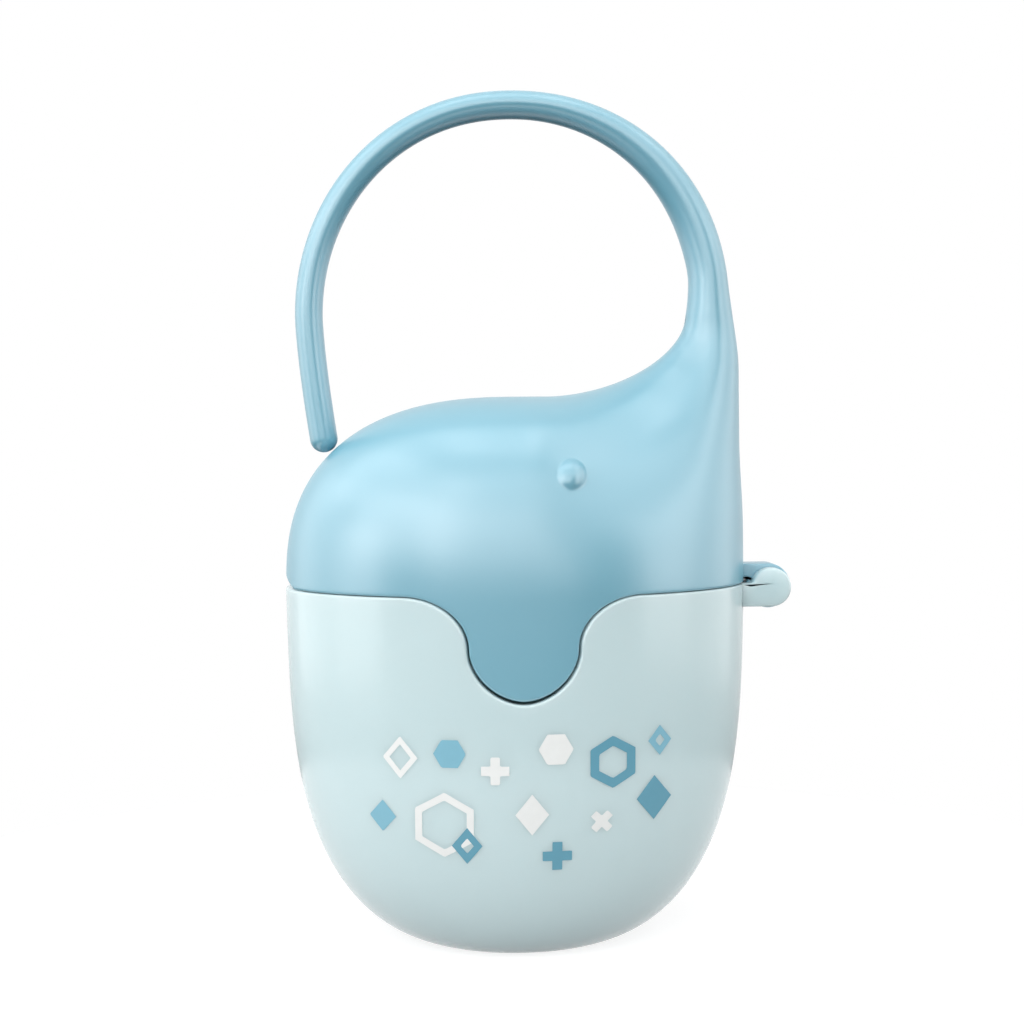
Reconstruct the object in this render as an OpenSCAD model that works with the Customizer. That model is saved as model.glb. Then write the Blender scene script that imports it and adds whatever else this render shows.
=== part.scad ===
// Soother steriliser case in the shape of an elephant.
// The cup is the body. The lid is the head, and its trunk curls over to form the handle.
// Units are millimetres. Z is up, the hinge is on the +X side, and the front faces -Y.

/* [Cup] */
// width of the cup at its rim, from the free side to the hinge side
cup_w = 70.3; // [64:0.1:78]
// depth of the cup at its rim, from front to back
cup_d = 53; // [48:0.2:58]
// height of the cup from its resting face to its rim
cup_h = 54; // [50:0.5:60]
// width of the flat resting face
foot_w = 25.5; // [22:0.5:32]
// depth of the flat resting face
foot_d = 24; // [20:0.5:30]
// squareness of the oval outline, where 2 is a true ellipse
oval = 2; // [1.9:0.05:2.4]
// fullness of the bowl's sides, where more is rounder
bowl_fill = 1.87; // [1.7:0.01:2.2]
// wall thickness of the two mouldings
wall = 1.8; // [1.6:0.1:2.2]
// softening of the moulded edges
edge_r = 0.35; // [0.2:0.05:0.5]

/* [Ear-shaped lap] */
// width of the lap tongue at its neck
tongue_w = 15.7; // [13:0.1:18]
// straight height of the neck
neck_h = 0.1; // [0:0.1:1]
// height of the rounded end of the tongue
tongue_end_h = 7.3; // [6:0.1:8]
// fullness of the rounded end, where 2 is half an ellipse
tongue_fill = 1.85; // [1.7:0.05:2.1]
// sideways reach of each shoulder curve
shoulder_w = 9.4; // [8:0.1:10]
// height of each shoulder curve below the rim
shoulder_h = 7.3; // [6:0.1:8]
// gap between the tongue and its notch
lap_gap = 0.35; // [0.3:0.05:0.5]

/* [Head] */
// height of the crown above the rim
crown_h = 28.7; // [27:0.1:31]
// squareness of the forehead curve
forehead = 2.55; // [2.4:0.01:2.7]
// step between the outside of the cup and the outside of the lid
lid_step = 0.05; // [0.05:0.05:0.3]
// gap between the lid and the rim of the cup
rim_gap = 0.12; // [0.1:0.01:0.2]
// height of the thumb bevel at the free side
bevel_h = 1.6; // [0.8:0.1:2]
// depth of the collar inside the rim
collar_h = 2.6; // [2:0.1:3.2]
// thickness of the collar
collar_t = 1.1; // [1:0.1:1.4]
// gap between the collar and the inside of the cup
collar_gap = 0.15; // [0.12:0.01:0.25]

/* [Eye] */
// distance of the eye from the middle of the head, towards the trunk
eye_x = 7.2; // [5:0.1:10]
// height of the eye above the rim
eye_h = 17.2; // [15:0.1:19]
// radius of the ball that forms the eye
eye_r = 2.6; // [2:0.1:3]
// height of the eye above the surface
eye_out = 1.1; // [0.8:0.05:1.3]

/* [Trunk] */
// height of the trunk root above the rim
root_h = 41; // [39:0.1:43]
// where the crown starts to climb to the trunk, measured from the middle
nape_x = 5; // [4:0.1:6]
// fullness of the curve that climbs from the crown to the trunk, where 2 is a quarter ellipse
nape_fill = 1.83; // [1.7:0.01:2.1]
// height of the arch above the trunk root
arch_h = 34.2; // [31:0.1:37]
// fullness of the arch, where 2 is half an ellipse
arch_fill = 2.15; // [2:0.01:2.3]
// how far the outside of the arch stays inside the rim at each end
arch_in = 1.85; // [1.2:0.05:2.9]
// width of the trunk at its root
root_w = 7.15; // [6.4:0.05:7.8]
// width of the trunk a little above its root
neck_w = 5.9; // [5.2:0.05:6.3]
// depth of the trunk at its root, front to back
root_d = 9.2; // [8:0.1:10]
// width of the trunk along the handle
trunk_w = 4.1; // [3.8:0.05:4.8]
// depth of the trunk at its tip, front to back
tip_d = 6.4; // [5.6:0.1:7]
// length of the free end below the arch
tail_h = 18.6; // [17:0.1:19]
// inward lean of the free end
tail_lean = 1.75; // [1.5:0.05:2]

/* [Hinge] */
// radius of the knuckle on the lid
knuckle_r = 3.4; // [3.1:0.05:3.6]
// radius of the two ears on the cup
ear_r = 2.95; // [2.7:0.05:3.1]
// depth of the pin's axis below the rim
pin_drop = 0.6; // [0.4:0.05:0.8]
// length of the knuckle on the lid
knuckle_l = 5; // [4.4:0.1:6]
// thickness of each ear
ear_t = 3; // [2.6:0.1:3.4]
// side gap between the knuckle and each ear
side_gap = 0.25; // [0.2:0.05:0.35]
// radius of the hinge pin
pin_r = 1.2; // [1:0.05:1.4]
// running clearance of the knuckle around the pin
pin_run = 0.06; // [0.04:0.01:0.1]
// clearance of the ears around the pin
pin_seat = 0.02; // [0.01:0.01:0.04]
// wall that closes the bore of the front ear
blind_t = 0.9; // [0.7:0.1:1.2]
// gap between the knuckle and the wall of the cup
hinge_gap = 0.3; // [0.25:0.05:0.4]

/* [Tray] */
// height of the drilled plate above the floor of the cup
tray_z = 9.5; // [8:0.5:12]
// thickness of the drilled plate
tray_t = 1.4; // [1.2:0.1:1.8]
// gap between the plate and the cup
tray_gap = 0.6; // [0.4:0.1:1]
// height of the rolled edge of the plate
tray_lip = 2.4; // [1.8:0.1:3]
// radius of each steam hole
hole_r = 1.5; // [1.2:0.1:1.8]
// radius of each foot
foot_r = 1.7; // [1.4:0.1:2]
// height of the lifting knob
knob_h = 9; // [7:0.5:11]
// radius of the lifting knob
knob_r = 2.4; // [2:0.1:3]

/* [Hidden] */
$fn = 64;
// steps of the side columns, of each lap curve, and of the rows
side_n = 12;
lap_n = 5;
head_n = 12;
tongue_n = 3;
bowl_n = 13;
well_n = 10;
roof_n = 8;
arch_n = 26;
tail_n = 6;

a1 = cup_w / 2;
b1 = cup_d / 2;
arch_r = a1 - arch_in;
lap_half = tongue_w / 2 + shoulder_w;
side_a = acos(pow(lap_half / a1, oval / 2));
function mix(a, b, t) = a + (b - a) * t;
function soft(t) = let (u = min(1, max(0, t))) u * u * (3 - 2 * u);
// rounded curve that falls from 1 to 0 as t goes from 0 to 1, fuller as p grows
function curve(t, p) = pow(1 - pow(min(1, max(0, t)), p), 1 / p);
// half width and half depth of the cup at a height
function bowl(z, r0, r1) = mix(r0, r1, pow(1 - pow(1 - min(1, max(0, z)), 3), 1 / bowl_fill));
function cup_a(z) = bowl(z / cup_h, foot_w / 2, a1);
function cup_b(z) = bowl(z / cup_h, foot_d / 2, b1);
function well_t(z) = (z - wall) / (cup_h - wall);
function well_a(z) = bowl(well_t(z), foot_w / 2 - wall * 0.6, a1 - wall);
function well_b(z) = bowl(well_t(z), foot_d / 2 - wall * 0.6, b1 - wall);
// depth of the lap curve below the rim at a distance u from the middle, widened by g
function lap(u, g) =
    u <= tongue_w / 2 + g ?
        shoulder_h + neck_h + (tongue_end_h + g) * curve(u / (tongue_w / 2 + g), tongue_fill)
    : u >= lap_half - 0.001 ? 0
    : shoulder_h * (1 - sqrt(max(0, 1 - pow((lap_half - u) / (shoulder_w - g), 2))));
// columns of one half outline, from the free side (-1) to the hinge side (1)
function side_cols() = [for (k = [0:side_n]) pow(cos(side_a * k / side_n), 2 / oval)];
function lap_cols(g) = concat(
    [for (k = [1:lap_n]) (lap_half - (shoulder_w - g) * sin(90 * k / lap_n)) / a1],
    [for (k = [0:lap_n]) (tongue_w / 2 + g - 0.12) / a1 * cos(90 * k / lap_n)]);
function half_cols(g) = concat([for (c = side_cols()) -c], [for (c = lap_cols(g)) -c]);
function flip(v) = [for (k = [len(v) - 2:-1:0]) -v[k]];
function cols(g) = concat(half_cols(g), flip(half_cols(g)));
function oval_y(c) = curve(abs(c), oval);
// closed outline: the front half, then the back half in reverse
function ring_k(n, k) = k <= n ? k : 2 * n - k;
// triangles between two rings of point numbers, without the collapsed ones
function tri(a, b, c) = a == b || b == c || a == c ? [] : [[a, b, c]];
function strip(p, q) = let (m = len(p)) [for (k = [0:m - 1]) let (j = (k + 1) % m)
    each concat(tri(q[k], p[k], p[j]), tri(q[k], p[j], q[j]))];
function strips(rows) = [for (r = [0:len(rows) - 2]) each strip(rows[r], rows[r + 1])];

// ---- cup ----
module cup_shell() {
    cs = cols(lap_gap);
    n = len(cs) - 1;
    m = 2 * n;
    top = [for (c = cs) cup_h - lap(abs(c) * a1, lap_gap)];
    // rows from the middle of the base, up the outside, over the rim and down the inside
    pts = concat(
        [[0, 0, 0]],
        [for (r = [0:bowl_n]) for (k = [0:m - 1]) let (i = ring_k(n, k),
            s = pow(r / bowl_n, 1.6), z = s * (top[i] - edge_r), y = k <= n ? -1 : 1)
            [cup_a(z) * cs[i], y * cup_b(z) * oval_y(cs[i]), z]],
        [for (k = [0:m - 1]) let (i = ring_k(n, k), z = top[i], y = k <= n ? -1 : 1)
            [(cup_a(z) - edge_r) * cs[i], y * (cup_b(z) - edge_r) * oval_y(cs[i]), z]],
        [for (r = [0:well_n]) for (k = [0:m - 1]) let (i = ring_k(n, k),
            s = pow(1 - r / well_n, 1.6), z = wall + s * (top[i] - wall), y = k <= n ? -1 : 1)
            [well_a(z) * cs[i], y * well_b(z) * oval_y(cs[i]), z]],
        [[0, 0, wall]]);
    rows = concat(
        [[for (k = [0:m - 1]) 0]],
        [for (r = [0:bowl_n + well_n + 2]) [for (k = [0:m - 1]) 1 + r * m + k]],
        [[for (k = [0:m - 1]) len(pts) - 1]]);
    // this profile runs upwards on the outside, so its rings are taken in reverse
    polyhedron(pts, strips([for (r = [len(rows) - 1:-1:0]) rows[r]]), convexity = 6);
}

hinge_x = a1 + knuckle_r + hinge_gap;
hinge_z = cup_h - pin_drop;
ear_y0 = knuckle_l / 2 + side_gap;
ear_y1 = ear_y0 + ear_t;

module along_y(r, y0, y1) {
    translate([hinge_x, y0, hinge_z]) rotate([-90, 0, 0]) cylinder(r = r, h = y1 - y0);
}

module case_body() {
    color([0.80, 0.90, 0.90]) difference() {
        union() {
            cup_shell();
            for (y = [-ear_y1, ear_y0]) {
                along_y(ear_r, y, y + ear_t);
                translate([a1 - wall + 0.6, y, hinge_z - ear_r + 0.05])
                    cube([hinge_x - a1 + wall - 0.6, ear_t, cup_h - hinge_z + ear_r - 0.05]);
            }
        }
        along_y(pin_r + pin_seat, -ear_y1 + blind_t, ear_y1 + 1);
    }
}

// ---- lid ----
la = a1 - lid_step;
lb = b1 - lid_step;
// how far the hinge side stands outside the arch, from the rim up into the foot of the trunk
function flare(h) = (la - arch_r)
    * (1 - 0.25 * soft((h / root_h - 0.195) / 0.34) - 0.75 * soft((h / root_h - 0.793) / 0.33));
root_x1 = arch_r + flare(root_h);
root_x0 = root_x1 - root_w;
// columns beyond this one run up into the trunk instead of meeting along the crown
function root_col(cs) = len([for (c = cs) if (c * la < 23) 1]) - 1;
// the crown line up to the inner side of the trunk, for a column that starts at x on the rim
function crown_q(x, xs) = let (q = max(0, x - nape_x) / (xs - nape_x)) 90 * (0.52 * q + 0.48 * q * q);
function crown_x(x, xs) = x <= nape_x ? x : mix(nape_x, root_x0, pow(sin(crown_q(x, xs)), 2 / nape_fill));
function crown_z(x, xs) = x < 0 ? crown_h * curve(abs(x) / la, forehead)
    : mix(root_h, crown_h, x <= nape_x ? 1 : pow(max(0, cos(crown_q(x, xs))), 2 / nape_fill));
// half depth of the head at a point of its front view: the forehead's dome runs into the neck,
// and both round over towards the crown line
function head_y(x, h) =
    let (rise = soft(h / root_h), end = arch_r + flare(h),
         dome = lb * curve(abs(x) / end, oval),
         neck = mix(lb, root_d / 2, rise)
             * curve(1 - (end - x) / mix(end, root_w / 2, rise), mix(oval, 2, rise)),
         u = max(0, x - nape_x) / (root_x0 - nape_x), v = max(0, root_h - h) / (root_h - crown_h),
         loop = max(0.000001, pow(pow(u, nape_fill) + pow(v, nape_fill), 1 / nape_fill)),
         away = (1 - 1 / loop) * norm([u * (root_x0 - nape_x), v * (root_h - crown_h)]),
         turn = soft(atan2(u, v) / 90),
         near = 1 - away / mix(crown_h, root_w / 2, turn),
         top = max(0.000001, crown_h * curve(max(0, -x) / la, forehead)))
    curve(x < 0 ? h / top : near, mix(forehead, 2, x < 0 ? 0 : turn))
        * mix(dome, neck, soft(x / root_x0));
// point on the outside of the head: column i, where s is the last one that meets the crown line,
// at a share t of its height
function head_pt(cs, i, s, t, z0) =
    let (x = la * cs[i], xs = la * cs[s], up = i > s,
         e = 180 + 180 * (i - s) / (len(cs) - 1 - s),
         tx = up ? root_x1 - root_w / 2 * (1 - cos(e)) : crown_x(x, xs),
         h = mix(z0, up ? root_h : crown_z(x, xs), t),
         w = min(1, max(0, h) / max(0.001, up ? root_h : crown_z(x, xs))),
         pull = soft((x - xs) / (la - xs)),
         side = (la - arch_r - flare(h)) / (la - root_x1),
         at = mix(x, tx, up ? mix(w * w, side, pull) : w * w))
    [at, t == 1 && !up ? 0 : -head_y(at, h), cup_h + h];
// height of the lower edge of the lid at a column, measured from the rim
function lid_low(c) = rim_gap - lap(abs(c) * a1, 0)
    + (c < 0 ? bevel_h * pow(max(0, (-c - 0.955) / 0.045), 1.3) : 0);
// roof of the inside: it follows the forehead, and closes below the trunk
function roof_z(x) = (crown_h - wall) * curve(abs(x) / (la - wall), x < 0 ? forehead : 4);

// middle, outward direction, width and depth of the trunk section at step q
function arch_e(q) = 180 * q / arch_n;
function arch_w(e) = mix(neck_w, trunk_w, soft((e - 15) / 75))
    + (root_w - neck_w) * pow(max(0, 1 - e / 15), 2);
function arch_d(e) = mix(root_d, tip_d, pow(e / 180, 0.6));
function arch_rad(e) = pow(pow(abs(cos(e)) / arch_r, arch_fill)
    + pow(abs(sin(e)) / arch_h, arch_fill), -1 / arch_fill);
function tail_x(h) = tail_lean * pow(h / tail_h, 1.4);
function trunk_sec(q) = q <= arch_n
    ? let (e = arch_e(q), r0 = arch_rad(e) - arch_w(e) / 2,
           r = r0 + max(0, cos(e)) * flare(root_h + arch_rad(e) * sin(e)))
        [r * cos(e), cup_h + root_h + r * sin(e), cos(e), sin(e), arch_w(e), arch_d(e)]
    : q <= arch_n + tail_n
    ? let (h = tail_h * (q - arch_n) / tail_n, g = (tail_x(h) - tail_x(h - 0.1)) / 0.1, l = norm([1, g]))
        [-arch_r + trunk_w / 2 + tail_x(h), cup_h + root_h - h, -1 / l, -g / l, trunk_w, tip_d]
    : let (u = [0.45, 0.75, 0.93][q - arch_n - tail_n - 1], s = sqrt(1 - u * u),
           g = (tail_x(tail_h) - tail_x(tail_h - 0.1)) / 0.1, l = norm([1, g]))
        [-arch_r + trunk_w / 2 + tail_x(tail_h) + g / l * u * trunk_w / 2,
         cup_h + root_h - tail_h - u * trunk_w / 2 / l, -1 / l, -g / l, trunk_w * s, tip_d * s];

module head_shell() {
    cs = cols(0);
    n = len(cs) - 1;
    m = 2 * n;
    s = root_col(cs);
    low = [for (c = cs) lid_low(c)];
    rc = m - 2 * s;
    sec_n = arch_n + tail_n + 3;
    // the outside of the head: the crown row is shared by the front and the back half
    head = [for (j = [0:head_n]) for (k = [0:m - 1]) let (i = ring_k(n, k),
        v = sin(90 * (1 - j / head_n)),
        t = mix(pow(v, 2 / forehead), 1 - j / head_n, i > s ? 1 : soft(cs[i] / cs[s])),
        p = head_pt(cs, i, s, t, max(0, low[i] + edge_r)))
        i == 0 ? [-la, 0, cup_h + low[0] + edge_r] : [p[0], k <= n ? p[1] : -p[1], p[2]]];
    lap_rows = [for (j = [1:tongue_n]) for (k = [0:m - 1]) let (i = ring_k(n, k),
        z = cup_h + min(0, low[i] + edge_r) * j / tongue_n, y = k <= n ? -1 : 1)
        [(cup_a(z) - lid_step) * cs[i], y * (cup_b(z) - lid_step) * oval_y(cs[i]), z]];
    // the lower edge, the inside of the lap, the collar and the step back to the wall
    function under(k, o, z) = let (i = ring_k(n, k), y = k <= n ? -1 : 1)
        [(cup_a(min(cup_h, z)) - o) * cs[i], y * (cup_b(min(cup_h, z)) - o) * oval_y(cs[i]), z];
    o1 = wall + collar_gap;
    o2 = o1 + collar_t;
    edge = [for (k = [0:m - 1]) under(k, lid_step + edge_r, cup_h + low[ring_k(n, k)])];
    land = [for (k = [0:m - 1]) under(k, o1, cup_h + low[ring_k(n, k)])];
    mid = [for (k = [0:m - 1]) let (z = min(0, low[ring_k(n, k)] + collar_h) / 2)
        under(k, o1, cup_h - collar_h + z)];
    coll = [for (k = [0:m - 1]) under(k, o1, cup_h - collar_h)];
    lip = [for (k = [0:m - 1]) under(k, o2, cup_h - collar_h)];
    lip2 = [for (k = [0:m - 1]) under(k, o2, cup_h + 0.4)];
    roof = [for (j = [0:roof_n]) for (k = [0:m - 1]) let (i = ring_k(n, k),
        x = (la - wall) * cs[i], v = 90 * j / roof_n,
        h = mix(1.6, max(2, roof_z(x)), pow(sin(v), 2 / forehead)),
        y = min((lb - wall) * oval_y(cs[i]) * pow(max(0, cos(v)), 2 / forehead),
                max(0, head_y(x, h + wall * 0.55) - wall * 0.95)))
        [x, k <= n ? -y : y, cup_h + h]];
    trunk = [for (q = [1:sec_n]) for (k = [s:m - s - 1]) let (i = ring_k(n, k),
        e = 180 + 180 * (i - s) / (n - s), c = trunk_sec(q), r = c[4] / 2 * cos(e))
        [c[0] + c[2] * r, (k <= n ? -1 : 1) * c[5] / 2 * abs(sin(e)), c[1] + c[3] * r]];
    last = trunk_sec(sec_n);
    tip = [last[0] - last[3] * 0.15, 0, last[1] + last[2] * 0.15];
    pts = concat(head, lap_rows, edge, land, mid, coll, lip, lip2, roof, trunk, [tip]);
    h1 = (head_n + 1) * m;
    h2 = h1 + tongue_n * m;
    h3 = h2 + 6 * m;
    h4 = h3 + (roof_n + 1) * m;
    top_row = [for (k = [0:m - 1]) ring_k(n, k) == 0 ? 0 : ring_k(n, k) <= s ? ring_k(n, k) : k];
    head_rows = [for (j = [1:head_n]) [for (k = [0:m - 1]) k == 0 ? 0 : j * m + k]];
    lap_ids = [for (j = [0:tongue_n - 1]) [for (k = [0:m - 1])
        low[ring_k(n, k)] + edge_r < 0 ? h1 + j * m + k : k == 0 ? 0 : head_n * m + k]];
    // the free end of the roof ridge is one point for every row
    low_rows = [for (j = [0:5]) [for (k = [0:m - 1])
        j == 2 && low[ring_k(n, k)] + collar_h > -0.5 ? h2 + m + k : h2 + j * m + k]];
    roof_rows = [for (j = [0:roof_n]) [for (k = [0:m - 1])
        j == roof_n ? h3 + j * m + ring_k(n, k) : h3 + j * m + k]];
    ring0 = [for (k = [s:m - s - 1]) k];
    ring_q = [for (q = [0:sec_n - 1]) [for (r = [0:rc - 1]) h4 + q * rc + r]];
    ring_end = [for (r = [0:rc - 1]) len(pts) - 1];
    polyhedron(pts, concat(
        strips(concat([top_row], head_rows, lap_ids, low_rows, roof_rows)),
        strips([for (r = concat([ring_end], [for (q = [sec_n - 1:-1:0]) ring_q[q]], [ring0])) r])),
        convexity = 10);
}

module lid_head() {
    color([0.60, 0.78, 0.86]) difference() {
        union() {
            head_shell();
            for (y = [-1, 1]) eye(y);
            along_y(knuckle_r, -knuckle_l / 2, knuckle_l / 2);
            translate([a1 - wall + 0.5, -knuckle_l / 2, cup_h + 0.5])
                cube([hinge_x - a1 + wall - 0.5, knuckle_l, hinge_z + knuckle_r - cup_h - 0.5]);
        }
        along_y(pin_r + pin_run, -knuckle_l, knuckle_l);
    }
}

// the cap of a ball, set on the head along the slope of its surface
module eye(y) {
    d = head_y(eye_x, eye_h);
    slope = [head_y(eye_x - 0.1, eye_h) - d, y * 0.1, head_y(eye_x, eye_h - 0.1) - d];
    translate([eye_x, y * d, cup_h + eye_h])
        rotate([0, acos(slope[2] / norm(slope)), atan2(slope[1], slope[0])]) intersection() {
            translate([0, 0, eye_out - eye_r]) sphere(r = eye_r, $fn = 32);
            translate([0, 0, -wall / 2]) cylinder(r = eye_r, h = eye_out + wall);
        }
}

module hinge_pin() {
    color([0.90, 0.93, 0.93]) along_y(pin_r, -ear_y1 + blind_t, ear_y1);
}

// ---- tray ----
plate_z = wall + tray_z;
function tray_cols() = [for (k = [0:47]) 360 * k / 48];
module tray_outline(o) {
    polygon([for (e = tray_cols()) [
        (well_a(plate_z) - tray_gap - o) * sign(cos(e)) * pow(abs(cos(e)), 2 / oval),
        (well_b(plate_z) - tray_gap - o) * sign(sin(e)) * pow(abs(sin(e)), 2 / oval)]]);
}
hole_step = well_a(plate_z) / 3.4;
module steam_tray() {
    color([0.88, 0.94, 0.93]) difference() {
        union() {
            translate([0, 0, plate_z]) linear_extrude(tray_t) tray_outline(0);
            translate([0, 0, plate_z]) linear_extrude(tray_lip) difference() {
                tray_outline(0);
                tray_outline(1.2);
            }
            for (x = [-1, 1]) for (y = [-1, 1])
                translate([x * foot_w * 0.27, y * foot_d * 0.27, wall])
                    cylinder(r = foot_r, h = tray_z + 0.2);
            translate([0, 0, plate_z]) cylinder(r = knob_r, h = knob_h);
            translate([0, 0, plate_z + knob_h - 2]) cylinder(r = knob_r + 1.1, h = 2);
        }
        for (k = [0:5]) for (j = [1, 2]) translate([
            hole_step * j * cos(60 * k + 30 * (j - 1)) * 1.05,
            hole_step * j * sin(60 * k + 30 * (j - 1)) * 0.98, plate_z - 1])
            cylinder(r = hole_r, h = tray_t + 2, $fn = 32);
    }
}

case_body();
lid_head();
hinge_pin();
steam_tray();
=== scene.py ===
"""Looks for a soother steriliser case in the shape of an elephant.

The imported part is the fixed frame. This script lays a finely formed cup, head lid, hinge pin and
drilled tray over it, adds the printed motifs, and sets the finishes, the light and the camera.
Sizes are held in millimetres and turned into metres when a mesh is made.
"""

import logging
import math
from dataclasses import dataclass
from enum import Enum
from typing import Callable, Sequence

import bmesh
import bpy
import numpy as np
from mathutils import Matrix, Vector
from mathutils.geometry import delaunay_2d_cdt


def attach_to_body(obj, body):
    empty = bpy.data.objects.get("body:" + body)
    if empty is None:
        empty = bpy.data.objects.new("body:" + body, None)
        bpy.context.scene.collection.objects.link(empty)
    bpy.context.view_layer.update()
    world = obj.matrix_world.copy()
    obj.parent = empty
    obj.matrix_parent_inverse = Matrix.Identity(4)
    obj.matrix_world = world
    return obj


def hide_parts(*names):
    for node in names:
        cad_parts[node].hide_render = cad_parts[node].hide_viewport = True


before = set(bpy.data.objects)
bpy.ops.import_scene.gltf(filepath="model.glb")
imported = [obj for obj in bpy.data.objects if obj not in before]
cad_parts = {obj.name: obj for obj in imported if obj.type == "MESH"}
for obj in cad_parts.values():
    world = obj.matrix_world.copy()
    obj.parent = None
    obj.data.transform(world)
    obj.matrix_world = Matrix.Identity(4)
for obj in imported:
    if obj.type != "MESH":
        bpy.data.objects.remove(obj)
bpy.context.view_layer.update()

LOG = logging.getLogger("case")
MM = 0.001
ROW_SHARES = np.array([0.08, 0.2, 0.36, 0.56, 0.78, 1.0])
NEAR_SHARES = np.append(ROW_SHARES, [1.6, 2.6])
FEATHER = 0.6
WELD = 2e-6


class Body(Enum):
    """The rigid bodies that the script's own pieces ride on."""

    CUP = "cup"
    LID = "lid"


class Side(Enum):
    """Front or back half of the case, as the sign of Y."""

    FRONT = -1.0
    BACK = 1.0


class Motif(Enum):
    """The printed shapes."""

    DIAMOND = "diamond"
    HEXAGON = "hexagon"
    PLUS = "plus"


# ---------------------------------------------------------------- small geometry helpers


def smooth_step(t: np.ndarray) -> np.ndarray:
    """Returns t eased from 0 to 1 with flat ends."""
    t = np.clip(t, 0.0, 1.0)
    return t * t * (3.0 - 2.0 * t)


def blend(a: np.ndarray, b: np.ndarray, t: np.ndarray) -> np.ndarray:
    """Returns the straight mix of a and b, with a share t of b."""
    return a + (b - a) * t


def round_fall(t: np.ndarray, power: float | np.ndarray) -> np.ndarray:
    """Falls from 1 to 0 on a rounded curve as t goes from 0 to 1, fuller as the power grows."""
    return (1.0 - np.clip(t, 0.0, 1.0) ** power) ** (1.0 / power)


def soft_least(a: np.ndarray, b: np.ndarray) -> np.ndarray:
    """Returns the lesser of two distances, with a soft turn from one to the other."""
    return np.maximum(0.0, np.minimum(0.5 * (a + b - np.sqrt((a - b) ** 2 + FEATHER)), np.minimum(a, b)))


def quarter_drop(depth: np.ndarray, radius: float) -> np.ndarray:
    """Gives how far a rounded edge falls back from its face.

    Args:
        depth: distance from the edge along the face.
        radius: radius of the rounding.

    Returns:
        The drop at each depth, from the radius at the edge to 0 where the face is flat.
    """
    inside = np.clip(radius - depth, 0.0, radius)
    return radius - np.sqrt(np.maximum(radius**2 - inside**2, 0.0))


def distance_to_line(points: np.ndarray, line: np.ndarray) -> np.ndarray:
    """Finds the distance of flat points from an open chain of segments.

    Args:
        points: n by 2 array.
        line: m by 2 array of the chain's corners.

    Returns:
        The n distances.
    """
    start, step = line[:-1], np.diff(line, axis=0)
    length = np.maximum((step**2).sum(1), 1e-12)
    away = points[:, None, :] - start[None]
    share = np.clip((away * step[None]).sum(2) / length, 0.0, 1.0)
    gap = away - share[..., None] * step[None]
    return np.sqrt((gap**2).sum(2)).min(1)


def offset_line(line: np.ndarray, amount: float) -> np.ndarray:
    """Moves an open chain sideways, to the left of its direction.

    Args:
        line: m by 2 array of the chain's corners.
        amount: distance to move.

    Returns:
        The moved chain, with as many corners.
    """
    run = np.gradient(line, axis=0)
    run /= np.maximum(np.linalg.norm(run, axis=1, keepdims=True), 1e-9)
    return line + amount * np.stack([-run[:, 1], run[:, 0]], 1)


def spaced(line: np.ndarray, step: float) -> np.ndarray:
    """Returns points evenly spaced by about step along an open chain."""
    run = np.concatenate([[0.0], np.cumsum(np.linalg.norm(np.diff(line, axis=0), axis=1))])
    count = max(2, int(round(run[-1] / step)) + 1)
    at = np.linspace(0.0, run[-1], count)
    return np.stack([np.interp(at, run, line[:, k]) for k in range(line.shape[1])], 1)


class MeshPlan:
    """Gathers points in millimetres and faces, and welds them into one mesh."""

    def __init__(self) -> None:
        """Starts an empty plan."""
        self.points: list[np.ndarray] = []
        self.faces: list[tuple[int, ...]] = []
        self.count = 0

    def add(self, points: np.ndarray) -> np.ndarray:
        """Adds points.

        Args:
            points: array whose last axis is X, Y, Z.

        Returns:
            Their numbers, in the shape of the array without its last axis.
        """
        flat = points.reshape(-1, 3)
        ids = np.arange(self.count, self.count + len(flat))
        self.points.append(flat)
        self.count += len(flat)
        return ids.reshape(points.shape[:-1])

    def grid(self, ids: np.ndarray, flip: bool = False, closed: bool = False) -> None:
        """Adds the quads of a grid of point numbers.

        Args:
            ids: rows by columns array of point numbers.
            flip: turns the faces over.
            closed: joins the last column to the first.
        """
        nxt = np.roll(ids, -1, axis=1) if closed else ids[:, 1:]
        cur = ids if closed else ids[:, :-1]
        quads = np.stack([cur[:-1], nxt[:-1], nxt[1:], cur[1:]], -1).reshape(-1, 4)
        quads = quads[:, ::-1] if flip else quads
        self.faces.extend(map(tuple, quads.tolist()))

    def fan(self, ring: Sequence[int], hub: int, flip: bool = False) -> None:
        """Closes a ring of point numbers with triangles to one hub point."""
        for a, b in zip(ring, list(ring[1:]) + [ring[0]]):
            self.faces.append((b, a, hub) if flip else (a, b, hub))

    def mesh(self, name: str) -> bpy.types.Object:
        """Makes the object.

        Args:
            name: name of the piece.

        Returns:
            The linked object, welded and smooth shaded, in metres.
        """
        data = bpy.data.meshes.new(name)
        points = np.concatenate(self.points) * MM
        data.from_pydata(points.tolist(), [], self.faces)
        shape = bmesh.new()
        shape.from_mesh(data)
        bmesh.ops.remove_doubles(shape, verts=shape.verts, dist=WELD)
        bmesh.ops.dissolve_degenerate(shape, edges=shape.edges, dist=WELD / 4)
        loose = [v for v in shape.verts if not v.link_faces]
        bmesh.ops.delete(shape, geom=loose, context="VERTS")
        bmesh.ops.recalc_face_normals(shape, faces=shape.faces)
        for face in shape.faces:
            face.smooth = True
        shape.to_mesh(data)
        shape.free()
        piece = bpy.data.objects.new(name, data)
        bpy.context.scene.collection.objects.link(piece)
        return piece


def crisp(piece: bpy.types.Object, angle: float = 50.0) -> None:
    """Keeps edges sharper than angle degrees crisp in the shading."""
    piece.data.set_sharp_from_angle(angle=math.radians(angle))


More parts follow.
